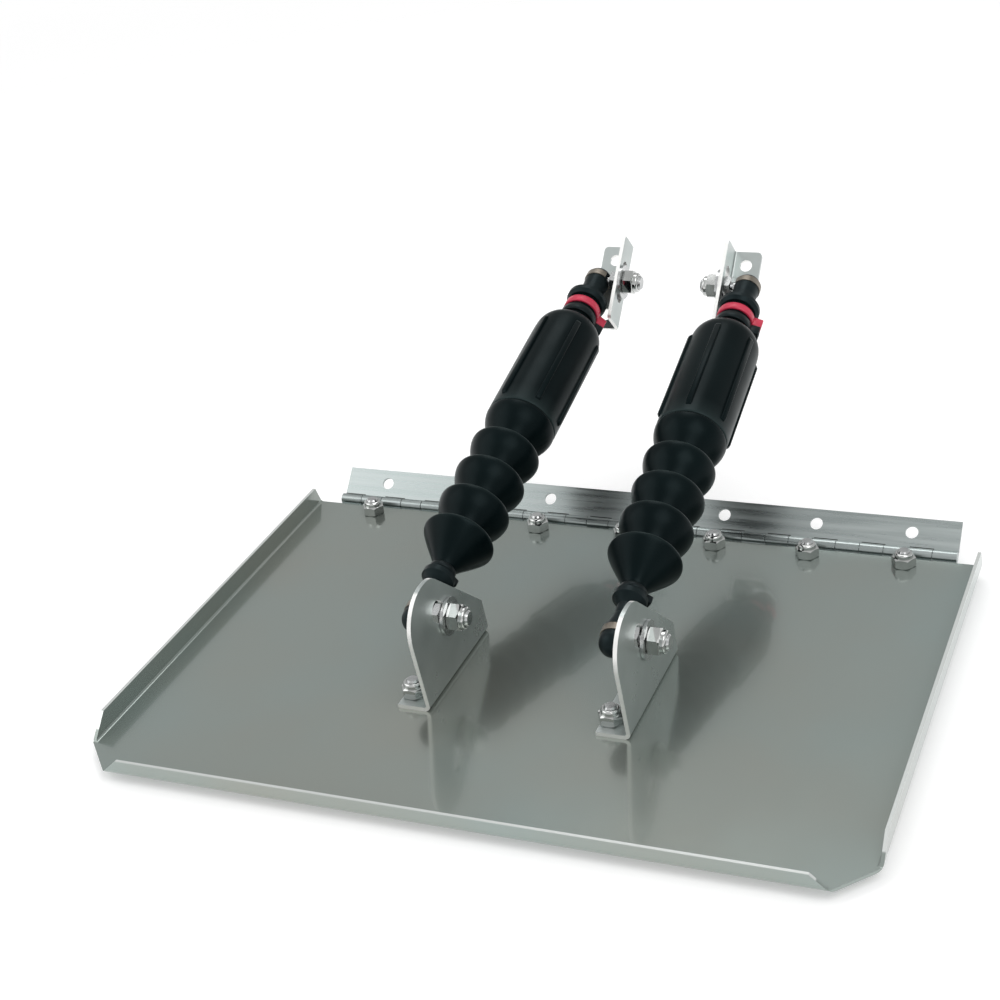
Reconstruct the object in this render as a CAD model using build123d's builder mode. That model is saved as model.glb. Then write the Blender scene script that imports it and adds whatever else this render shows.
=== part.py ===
from build123d import *
import os
from math import asin, cos, radians, sin, tan

os.makedirs("parts", exist_ok=True)

# Boat trim tab for the transom of a powerboat, millimetres.
# A stainless tray hangs from the transom on a piano hinge and is held down by
# two gas-spring actuators, each in a rubber boot with a ball socket at both ends.
# The tray lies level, X runs along the hinge, -Y points aft, +Z is the tray's normal.
# The origin is the centre screw hole of the fixed leaf, on the transom face.
# The gas springs are fully extended, which is full droop on the boat.

# Layout
droop = 46.0             # lean of the transom away from the tray's normal
hole_in = 12.0           # hinge pin to the line of leaf holes
stud_height = 142.0      # hinge pin to the upper studs, up the transom
stud_standoff = 10.5     # transom face to the upper studs
lower_aft = 160.0        # hinge pin to the lower studs, along the tray
lower_up = 35.0          # hinge pin to the lower studs, above it
lower_x = {"left": -53.0, "right": 48.0}
upper_x = {"left": -44.0, "right": 44.3}
stud_reach = 12.6        # ball centre to the bracket face

# Piano hinge
pin_d = 3.2
pin_fit = 0.05
leaf_t = 1.5
leaf_w = 20.0
knuckle_pitch = 12.7
knuckle_count = 28
knuckle_gap = 0.4
notch_clear = 0.6
leaf_holes = 7
leaf_hole_pitch = 50.8

# Sheet tray
tray_w = 382.8
tray_len = 272.0         # hinge pin to the trailing lip
tray_t = 1.6
tray_lead = 5.3          # hinge pin to the leading edge
bend_r = 3.0
flange_h = 12.4
flange_back = 20.0       # trailing lip to the end of the side flanges
flange_slant = 11.0
flange_nose = 5.0
lip_h = 8.6
corner_x = 18.4
lip_mitre = 8.0

# Quarter-inch bolts with lock nuts
bolt_d = 6.35
bolt_clear = 0.2
bolt_proud = 1.2
bolt_head_d = 12.2
bolt_head_h = 3.4
small_af = 11.1
small_hex_h = 5.4
small_collar_h = 2.4
small_collar_d = 9.6
collar_round = 1.2       # rolled edge of a lock nut's collar
hex_face = 0.94          # flat end of a hexagon, as a share of its width across flats
bolt_tip = 0.9           # coned end of a bolt or stud

# Ball studs with 5/16 lock nuts
ball_d = 10.0
ball_fit = 0.08
stud_neck_d = 5.6
neck_clear = 0.6
stud_hex_af = 11.0
stud_hex_h = 4.2
shank_d = 7.94
shank_proud = 1.4
slide_gap = 0.16         # lower stud's hexagon and washer to the slotted blade
washer_d = 19.4
washer_t = 1.6
big_af = 12.7
big_hex_h = 6.2
big_collar_h = 2.6
big_collar_d = 11.2
thread_fit = 0.05

# Brackets
bracket_t = 2.0
bracket_bend = 3.0
foot_w = 17.0
foot_len = 74.5
foot_past = 31.5         # lower stud to the aft end of the foot
foot_bolt_in = 10.0      # end of the foot to its bolt
foot_bolt_x = 10.5       # blade face to the foot bolts
blade_top = 64.5
blade_lean = 8.0
blade_head_w = 27.0
blade_round = 18.0
blade_straight = 22.0    # upright part of the blade's aft edge, with its round corner
blade_front = 20.0       # height of the blade's fore corner
blade_front_in = 3.5     # fore corner behind the end of the foot
slot_w = 10.4
slot_tilt = 41.0
slot_up = 14.0
slot_down = 4.0
upper_h = 51.0
upper_w = 17.5
upper_deep = 19.0
upper_hole_d = 7.0
upper_hole_in = 17.0
upper_hole_x = 9.3
upper_slot_w = 8.4
upper_slot_len = 25.0
upper_corner = 2.5

# Ball sockets
socket_d = 14.4
socket_len = 8.0
socket_neck_d = 9.6
clip_t = 0.8
clip_w = 4.2
clip_gap = 80.0
clip_side = 0.15         # clip to each side of its groove
upper_end_r = 7.6        # round end of the upper housing, about the ball centre
lower_tail = 4.5         # lower ball centre to the middle of the housing's round end
lower_neck = 21.2        # ball centre to the lower collar
lower_collar_d = 17.0
lower_collar_h = 4.0
upper_neck = 16.0        # ball centre to the upper collar
upper_neck_d = 13.2
upper_collar_d = 23.2
upper_collar_h = 7.0
stem_d = 10.0
spigot_d = 15.8

# Gas spring
cylinder_d = 19.0
cylinder_wall = 1.2
cylinder_len = 118.0
cylinder_drop = 47.0     # upper ball centre to the cylinder's closed end
rod_d = 8.0
thread_depth = 11.0
rod_start = 14.0         # ball centre to the end of the rod in the lower socket
guide_h = 6.0
seal_h = 3.0
piston_h = 8.0
piston_rest = 2.0
running_fit = 0.06

# Rubber boot
boot_d = 38.5
boot_wall = 2.4
boot_neck_d = 18.4
boot_neck = 19.5         # from the collar to the dome
dome_h = 12.5
sleeve_len = 104.0       # from the collar to the open end
rib_count = 6
rib_w = 3.0
rib_h = 1.4
rib_inset = 5.0          # open end of the sleeve to the ribs
rib_turn = {"left": 5.0, "right": 30.0}
rim_d = 38.2
root_d = 22.6
bellows_wall = 1.2
folds = 4
cone_len = 20.0
cuff_d = 11.8
cuff_len = 6.0
soft_gap = 0.3
boot_fit = 0.05          # rubber neck to the spigot in it and the ties round it

# Cable ties
tie_w = 4.8
tie_t = 1.2
tie_head = 6.4
tie_first = 10.4         # collar to the black tie
tie_second = 3.0         # collar to the red tie
tie_turn = {"left": -45.0, "right": -20.0}
cuff_tie_t = 1.1
cuff_tie_w = 3.0
cuff_head = 4.4

# Derived places
barrel_r = pin_d / 2 + pin_fit + leaf_t
hinge_len = knuckle_pitch * knuckle_count
sd, cd = sin(radians(droop)), cos(radians(droop))
fore, up_tray, up_transom = Vector(0, 1, 0), Vector(0, 0, 1), Vector(0, sd, cd)
off_transom = Vector(0, -cd, sd)
hinge_point = off_transom * barrel_r - up_transom * hole_in
tray_plane = Plane(origin=hinge_point, x_dir=(1, 0, 0), z_dir=up_tray)
transom_plane = Plane(origin=hinge_point, x_dir=(1, 0, 0), z_dir=off_transom)
tray_under = leaf_t - barrel_r
tray_top = tray_under + tray_t
stud_n = stud_standoff - barrel_r
upper_y = stud_height * sd - stud_n * cd
upper_z = stud_height * cd + stud_n * sd
flange_aft = tray_len - flange_back
foot_aft = lower_aft + foot_past
leaf_hole_spots = [((i - (leaf_holes - 1) / 2) * leaf_hole_pitch, hole_in) for i in range(leaf_holes)]


def at(x, y, z):
    """Point x along the hinge, y forward along the tray and z above the hinge pin."""
    return tray_plane.from_local_coords((x, y, z))


lower_ball = {side: at(x, -lower_aft, lower_up) for side, x in lower_x.items()}
upper_ball = {side: at(x, upper_y, upper_z) for side, x in upper_x.items()}
span, axis_dir, across_dir, side_dir = {}, {}, {}, {}
for side in lower_x:
    reach = upper_ball[side] - lower_ball[side]
    span[side] = reach.length
    axis_dir[side] = reach.normalized()
    across_dir[side] = Vector(1, 0, 0).cross(axis_dir[side]).normalized()
    side_dir[side] = axis_dir[side].cross(across_dir[side])


def section_plane(x):
    """Side view of the tray at x: local x runs aft, local y runs up."""
    return Plane(origin=at(x, 0, 0), x_dir=-fore, z_dir=(-1, 0, 0))


def spring_plane(side, t=0.0, turn=0.0):
    """Cross-section of an actuator, t along it from the lower ball centre, turned about its axis."""
    x_dir = side_dir[side] * cos(radians(turn)) + across_dir[side] * sin(radians(turn))
    return Plane(origin=lower_ball[side] + axis_dir[side] * t, x_dir=x_dir, z_dir=axis_dir[side])


def profile_plane(side, turn=0.0):
    """Half section of an actuator: local x is the radius, local y runs up its axis."""
    base = spring_plane(side, turn=turn)
    return Plane(origin=base.origin, x_dir=base.x_dir, z_dir=base.x_dir.cross(base.z_dir))


def finish(piece, name):
    piece.part.label = name
    export_step(piece.part, "parts/" + name + ".step")


# Hinge leaves: one rolled section, cut away where the other leaf's knuckles sit
def leaf(plane, first):
    with BuildPart() as body:
        with BuildSketch(plane):
            Circle(barrel_r)
            with Locations((0, -barrel_r)):
                Rectangle(leaf_w, leaf_t, align=(Align.MIN, Align.MIN))
            Circle(pin_d / 2 + pin_fit, mode=Mode.SUBTRACT)
        extrude(amount=hinge_len)
        flat = Plane(origin=plane.origin, x_dir=plane.z_dir, z_dir=plane.z_dir.cross(plane.x_dir))
        spots = [((k + 0.5) * knuckle_pitch, 0) for k in range(first, knuckle_count, 2)]
        with BuildSketch(flat):
            with Locations(*spots):
                Rectangle(knuckle_pitch + knuckle_gap, 2 * (barrel_r + notch_clear))
        extrude(amount=2 * barrel_r, both=True, mode=Mode.SUBTRACT)
        across = 1 if flat.y_dir.dot(plane.x_dir) > 0 else -1
        with BuildSketch(flat):
            with Locations(*[(hinge_len / 2 + x, across * y) for x, y in leaf_hole_spots]):
                Circle(bolt_d / 2 + bolt_clear)
        extrude(amount=2 * barrel_r, both=True, mode=Mode.SUBTRACT)
    return body


fixed_section = Plane(
    origin=hinge_point - Vector(hinge_len / 2, 0, 0), x_dir=up_transom, z_dir=(1, 0, 0)
)
fixed_leaf = leaf(fixed_section, 0)
finish(fixed_leaf, "fixed_leaf")
moving_leaf = leaf(section_plane(hinge_len / 2), knuckle_count % 2)
finish(moving_leaf, "moving_leaf")

with BuildPart() as hinge_pin:
    with BuildSketch(section_plane(hinge_len / 2)):
        Circle(pin_d / 2)
    extrude(amount=hinge_len)
finish(hinge_pin, "hinge_pin")

# Tray: channel section, open at the leading edge, with a lip along the trailing edge
foot_front = foot_aft - foot_len
foot_spots = []
for x in lower_x.values():
    for y in (foot_aft - foot_bolt_in, foot_front + foot_bolt_in):
        foot_spots.append((x + stud_reach - foot_bolt_x, -y))
hinge_spots = [(x, -y) for x, y in leaf_hole_spots]

with BuildPart() as tab_plate:
    front = Plane(origin=at(0, -tray_lead, tray_under), x_dir=(1, 0, 0), z_dir=-fore)
    back_x = tray_w / 2 - corner_x
    with BuildSketch(front) as channel:
        Rectangle(tray_w, flange_h, align=(Align.CENTER, Align.MIN))
        with Locations((0, tray_t)):
            Rectangle(tray_w - 2 * tray_t, flange_h, align=(Align.CENTER, Align.MIN), mode=Mode.SUBTRACT)
        fillet(channel.vertices().group_by(Axis.Y)[0], bend_r)
        inner = channel.vertices().filter_by(lambda v: abs(v.Y - tray_t) < 0.001)
        fillet(inner, bend_r - tray_t)
    extrude(amount=tray_len - bend_r - tray_lead)
    with BuildSketch(section_plane(back_x + bend_r)) as lip:
        with Locations((tray_len, tray_under)):
            Rectangle(4 * bend_r, lip_h, align=(Align.MAX, Align.MIN))
        with Locations((tray_len - tray_t, tray_top)):
            Rectangle(4 * bend_r, lip_h, align=(Align.MAX, Align.MIN), mode=Mode.SUBTRACT)
        fillet(lip.vertices().sort_by_distance((tray_len, tray_under, 0))[0], bend_r)
        fillet(lip.vertices().sort_by_distance((tray_len - tray_t, tray_top, 0))[0], bend_r - tray_t)
    extrude(amount=2 * (back_x + bend_r))
    with BuildSketch(section_plane(tray_w)) as ends:
        with BuildLine():
            Polyline(
                (flange_aft - flange_slant, tray_under + flange_h + 1),
                (flange_aft - flange_slant, tray_under + flange_h),
                (flange_aft, tray_top),
                (tray_len - 4 * bend_r, tray_top),
                (tray_len - 4 * bend_r, tray_under + flange_h + 1),
                close=True,
            )
        make_face()
        with BuildLine():
            Polyline(
                (tray_lead - 1, tray_top),
                (tray_lead, tray_top),
                (tray_lead + flange_nose, tray_under + flange_h),
                (tray_lead + flange_nose, tray_under + flange_h + 1),
                (tray_lead - 1, tray_under + flange_h + 1),
                close=True,
            )
        make_face()
    extrude(amount=2 * tray_w, mode=Mode.SUBTRACT)
    with BuildSketch(tray_plane):
        for sign in (-1, 1):
            with BuildLine():
                Polyline(
                    (sign * tray_w / 2, -flange_aft),
                    (sign * back_x, -tray_len),
                    (sign * back_x, -tray_len - 1),
                    (sign * (tray_w / 2 + 1), -tray_len - 1),
                    (sign * (tray_w / 2 + 1), -flange_aft),
                    close=True,
                )
            make_face()
    extrude(amount=flange_h, both=True, mode=Mode.SUBTRACT)
    mitre_plane = Plane(origin=at(0, bend_r - tray_len, 0), x_dir=(1, 0, 0), z_dir=-fore)
    with BuildSketch(mitre_plane):
        for sign in (-1, 1):
            with BuildLine():
                Polyline(
                    (sign * back_x, tray_top),
                    (sign * (back_x - lip_mitre), tray_under + lip_h),
                    (sign * (back_x - lip_mitre), tray_under + lip_h + 1),
                    (sign * (back_x + 2 * bend_r), tray_under + lip_h + 1),
                    (sign * (back_x + 2 * bend_r), tray_top),
                    close=True,
                )
            make_face()
    extrude(amount=2 * bend_r, mode=Mode.SUBTRACT)
    with BuildSketch(tray_plane):
        with Locations(*hinge_spots, *foot_spots):
            Circle(bolt_d / 2 + bolt_clear)
    extrude(amount=flange_h, both=True, mode=Mode.SUBTRACT)
finish(tab_plate, "tab_plate")


# Fasteners
def blanks(plane, spots, af, height):
    """Round blanks with coned ends, which turn the corners off hexagons of that size."""
    flat_r = af / 2 * hex_face
    corner_r = af / 3 ** 0.5
    edge = (corner_r - flat_r) * tan(radians(30))
    with BuildPart() as body:
        with BuildSketch(plane):
            with Locations(*spots):
                Circle(flat_r)
        extrude(amount=edge, taper=-60)
        with BuildSketch(plane.offset(height)):
            with Locations(*spots):
                Circle(flat_r)
        extrude(amount=-edge, taper=-60)
        with BuildSketch(plane.offset(edge)):
            with Locations(*spots):
                Circle(corner_r)
        extrude(amount=height - 2 * edge)
    return body.part


def bolts(spots, under, top):
    """Round-head bolts with the heads below z = under and the ends above z = top."""
    grip = top - under + small_hex_h + small_collar_h + bolt_proud
    with BuildPart() as body:
        with BuildSketch(tray_plane.offset(under)):
            with Locations(*spots):
                Circle(bolt_d / 2)
        extrude(amount=grip - bolt_tip)
        with BuildSketch(tray_plane.offset(under + grip - bolt_tip)):
            with Locations(*spots):
                Circle(bolt_d / 2)
        extrude(amount=bolt_tip, taper=35)
        with BuildSketch(tray_plane.offset(under)):
            with Locations(*spots):
                Circle(bolt_head_d / 2)
        extrude(amount=-bolt_head_h, taper=18)
    return body


def lock_nuts(plane, spots, af, hex_h, collar_h, collar_d, bore_d):
    """Chamfered hexagon nuts with a rolled collar over the locking ring."""
    blank = blanks(plane, spots, af, hex_h)
    with BuildPart() as body:
        with BuildSketch(plane):
            with Locations(*spots):
                RegularPolygon(af / 2, 6, major_radius=False)
        extrude(amount=hex_h)
        add(blank, mode=Mode.INTERSECT)
        with BuildSketch(plane.offset(hex_h)):
            with Locations(*spots):
                Circle(collar_d / 2)
        extrude(amount=collar_h)
        top = hex_h + collar_h
        fillet(body.edges().filter_by(lambda e: plane.to_local_coords(e.center()).Z > top - 0.01), collar_round)
        with BuildSketch(plane):
            with Locations(*spots):
                Circle(bore_d / 2 + thread_fit)
        extrude(amount=hex_h + collar_h, mode=Mode.SUBTRACT)
    return body


hinge_bolts = bolts(hinge_spots, -barrel_r, tray_top)
finish(hinge_bolts, "hinge_bolts")
hinge_nuts = lock_nuts(
    tray_plane.offset(tray_top), hinge_spots, small_af, small_hex_h, small_collar_h, small_collar_d, bolt_d
)
finish(hinge_nuts, "hinge_nuts")
foot_bolts = bolts(foot_spots, tray_under, tray_top + bracket_t)
finish(foot_bolts, "foot_bolts")
foot_nuts = lock_nuts(
    tray_plane.offset(tray_top + bracket_t), foot_spots, small_af, small_hex_h, small_collar_h,
    small_collar_d, bolt_d
)
finish(foot_nuts, "foot_nuts")

# Lower brackets: bent sheet with a foot outboard of the leaning blade
for side, x in lower_x.items():
    face = x + stud_reach
    with BuildPart() as lower_bracket:
        bend_plane = Plane(
            origin=at(face + bracket_t, -foot_front, tray_top), x_dir=(-1, 0, 0), z_dir=fore
        )
        with BuildSketch(bend_plane) as angle:
            Rectangle(foot_w, blade_top, align=(Align.MIN, Align.MIN))
            with Locations((bracket_t, bracket_t)):
                Rectangle(foot_w, blade_top, align=(Align.MIN, Align.MIN), mode=Mode.SUBTRACT)
            fillet(angle.vertices().sort_by_distance((0, 0, 0))[0], bracket_bend)
            inner = angle.vertices().sort_by_distance((bracket_t, bracket_t, 0))[0]
            fillet(inner, bracket_bend - bracket_t)
        extrude(amount=-(foot_len + 2 * blade_lean))
        head_front = foot_aft + blade_lean - blade_head_w
        with BuildSketch(section_plane(face + bracket_t)) as blade:
            with BuildLine():
                Polyline(
                    (foot_front, tray_top),
                    (foot_front, tray_top + bracket_bend),
                    (foot_front + blade_front_in, tray_top + blade_front),
                    (head_front, tray_top + blade_top),
                    (foot_aft + blade_lean, tray_top + blade_top),
                    (foot_aft + blade_lean, tray_top + blade_top - blade_straight),
                    (foot_aft, tray_top + bracket_bend),
                    (foot_aft, tray_top),
                    close=True,
                )
            make_face()
            upright = tray_top + blade_top - blade_straight
            fillet(blade.vertices().filter_by(lambda v: v.Y > upright - 0.01), blade_round)
            with Locations(Location((lower_aft, lower_up), slot_tilt)):
                with Locations(((slot_up - slot_down) / 2, 0)):
                    SlotCenterToCenter(slot_up + slot_down, slot_w, mode=Mode.SUBTRACT)
        extrude(amount=foot_w, mode=Mode.INTERSECT)
        with BuildSketch(tray_plane):
            with Locations(*foot_spots):
                Circle(bolt_d / 2 + bolt_clear)
        extrude(amount=blade_front, both=True, mode=Mode.SUBTRACT)
    finish(lower_bracket, "lower_bracket_" + side)

# Upper brackets: a transom flange behind the socket and a slotted side flange, handed
upper_side = {"left": 1, "right": -1}
for side, x in upper_x.items():
    hand = upper_side[side]
    face = x + hand * stud_reach
    with BuildPart() as upper_bracket:
        corner = Plane(
            origin=transom_plane.from_local_coords((face + hand * bracket_t, stud_height - upper_h / 2, -barrel_r)),
            x_dir=(-hand, 0, 0), z_dir=up_transom * hand,
        )
        with BuildSketch(corner) as angle:
            with BuildLine():
                Polyline(
                    (0, 0), (upper_w, 0), (upper_w, bracket_t), (bracket_t, bracket_t),
                    (bracket_t, upper_deep), (0, upper_deep), close=True,
                )
            make_face()
            fillet(angle.vertices().sort_by_distance((0, 0, 0))[0], bracket_bend)
            inner = angle.vertices().sort_by_distance((bracket_t, bracket_t, 0))[0]
            fillet(inner, bracket_bend - bracket_t)
        extrude(amount=hand * upper_h)
        with BuildSketch(transom_plane):
            for sign in (-1, 1):
                with Locations((face + hand * (bracket_t - upper_hole_x), stud_height + sign * upper_hole_in)):
                    Circle(upper_hole_d / 2)
        extrude(amount=-2 * barrel_r, mode=Mode.SUBTRACT)
        cheek = Plane(origin=hinge_point + Vector(face, 0, 0), x_dir=up_transom, z_dir=(1, 0, 0))
        with BuildSketch(cheek):
            with Locations((stud_height, stud_n)):
                SlotOverall(upper_slot_len, upper_slot_w)
        extrude(amount=2 * bracket_t, both=True, mode=Mode.SUBTRACT)
        free = upper_bracket.edges().filter_by(lambda e: abs(e.length - bracket_t) < 0.01)
        fillet(free, upper_corner)
    finish(upper_bracket, "upper_bracket_" + side)

# Ball studs: ball, neck, hexagon base against the bracket, threaded shank
shank_len = bracket_t + washer_t + big_hex_h + big_collar_h + shank_proud


def stud_plane(centre, hand, reach):
    """Plane across a stud, reach along X from its ball in the direction of hand."""
    return Plane(origin=centre, x_dir=up_tray, z_dir=(hand, 0, 0)).offset(reach)


def ball_stud(centre, hand, gap=0):
    """Stud with its ball at centre; gap stays open between its hexagon and the bracket."""
    plane = stud_plane(centre, hand, 0)
    base = plane.offset(stud_reach - stud_hex_h)
    blank = blanks(base, [(0, 0)], stud_hex_af, stud_hex_h - gap)
    with BuildPart() as body:
        with BuildSketch(base):
            RegularPolygon(stud_hex_af / 2, 6, major_radius=False)
        extrude(amount=stud_hex_h - gap)
        add(blank, mode=Mode.INTERSECT)
        with BuildSketch(plane):
            Circle(stud_neck_d / 2)
        extrude(amount=stud_reach)
        with BuildSketch(plane.offset(stud_reach)):
            Circle(shank_d / 2)
        extrude(amount=shank_len - bolt_tip)
        with BuildSketch(plane.offset(stud_reach + shank_len - bolt_tip)):
            Circle(shank_d / 2)
        extrude(amount=bolt_tip, taper=35)
        with Locations(plane):
            Sphere(ball_d / 2)
    return body


def washer(plane):
    with BuildPart() as body:
        with BuildSketch(plane):
            Circle(washer_d / 2)
            Circle(shank_d / 2 + bolt_clear, mode=Mode.SUBTRACT)
        extrude(amount=washer_t)
    return body


washer_seat = stud_reach + bracket_t
nut_seat = washer_seat + washer_t
upper_studs, upper_washers, upper_nuts = [], [], []
for side, top in upper_ball.items():
    hand = upper_side[side]
    upper_studs.append(ball_stud(top, hand).part)
    upper_washers.append(washer(stud_plane(top, hand, washer_seat)).part)
    upper_nuts.append(
        lock_nuts(stud_plane(top, hand, nut_seat), [(0, 0)], big_af, big_hex_h, big_collar_h,
                  big_collar_d, shank_d).part
    )
for name, group in (("upper_studs", upper_studs), ("upper_washers", upper_washers), ("upper_nuts", upper_nuts)):
    with BuildPart() as pair:
        add(group)
    finish(pair, name)

for side, low in lower_ball.items():
    finish(ball_stud(low, 1, slide_gap), "lower_stud_" + side)
    finish(washer(stud_plane(low, 1, washer_seat + slide_gap)), "lower_washer_" + side)
    lower_nut = lock_nuts(
        stud_plane(low, 1, nut_seat + slide_gap), [(0, 0)], big_af, big_hex_h, big_collar_h,
        big_collar_d, shank_d
    )
    finish(lower_nut, "lower_nut_" + side)

# Places along the lower half of the actuator, from the lower ball centre
cuff_start = lower_neck + lower_collar_h
cone_start = cuff_start + cuff_len
cone_rim = cone_start + cone_len
bore_r = cylinder_d / 2 - cylinder_wall


def socket_body(side, t_ball, up, hand, points, bore_start, tail, end_r):
    """Ball housing, neck and threaded bore; up is 1 where the spring lies up the axis."""
    plane = profile_plane(side)
    half = socket_d / 2
    cup = ball_d / 2 + ball_fit
    groove_r = half - clip_t / 2
    bore = rod_d / 2 + thread_fit
    open_end = points[-1][1]
    t_mid = t_ball - up * tail
    t_end = t_mid - up * (end_r ** 2 - half ** 2) ** 0.5
    slant = asin(half / end_r) / 2
    t_clip = t_ball - up * clip_w / 2
    with BuildPart() as body:
        with BuildSketch(plane):
            with BuildLine():
                ThreePointArc(
                    (0, t_mid - up * end_r), (end_r * sin(slant), t_mid - up * end_r * cos(slant)), (half, t_end),
                )
                Polyline(
                    (half, t_end), (half, t_clip), (groove_r, t_clip), (groove_r, t_clip + up * clip_w),
                    (half, t_clip + up * clip_w), *points, (bore, open_end),
                    (bore, bore_start), (0, bore_start), (0, t_ball + up * cup),
                )
                ThreePointArc((0, t_ball + up * cup), (cup, t_ball), (0, t_ball - up * cup))
                Line((0, t_ball - up * cup), (0, t_mid - up * end_r))
            make_face()
        revolve(axis=Axis(plane.origin, plane.y_dir))
        with BuildSketch(stud_plane(spring_plane(side, t_ball).origin, hand, 0)):
            Circle(stud_neck_d / 2 + neck_clear)
        extrude(amount=socket_d, mode=Mode.SUBTRACT)
    return body


def clip(side, t_ball, up, hand):
    """Spring band in the groove of a ball housing, open where the stud leaves."""
    plane = spring_plane(side, t_ball - clip_w / 2 + clip_side)
    outer = socket_d / 2 + clip_t / 2
    with BuildPart() as body:
        with BuildSketch(plane):
            Circle(outer)
            Circle(outer - clip_t, mode=Mode.SUBTRACT)
            wedge = outer * 1.6
            half = radians(clip_gap / 2)
            with BuildLine():
                Polyline(
                    (0, 0), (hand * wedge * cos(half), wedge * sin(half)),
                    (hand * wedge * cos(half), -wedge * sin(half)), close=True,
                )
            make_face(mode=Mode.SUBTRACT)
        extrude(amount=clip_w - 2 * clip_side)
    return body


def tie(side, t_mid, inner_r, width, thick, head, turn):
    """Cable tie: a band round a rubber neck and its square locking head."""
    inner_r += boot_fit
    with BuildPart() as body:
        with BuildSketch(spring_plane(side, t_mid - width / 2)):
            Circle(inner_r + thick)
            Circle(inner_r, mode=Mode.SUBTRACT)
        extrude(amount=width)
        with BuildSketch(spring_plane(side, t_mid - head / 2, turn)):
            with Locations((inner_r + 0.3, 0)):
                Rectangle(head, head, align=(Align.MIN, Align.CENTER))
        extrude(amount=head)
    return body


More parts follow.
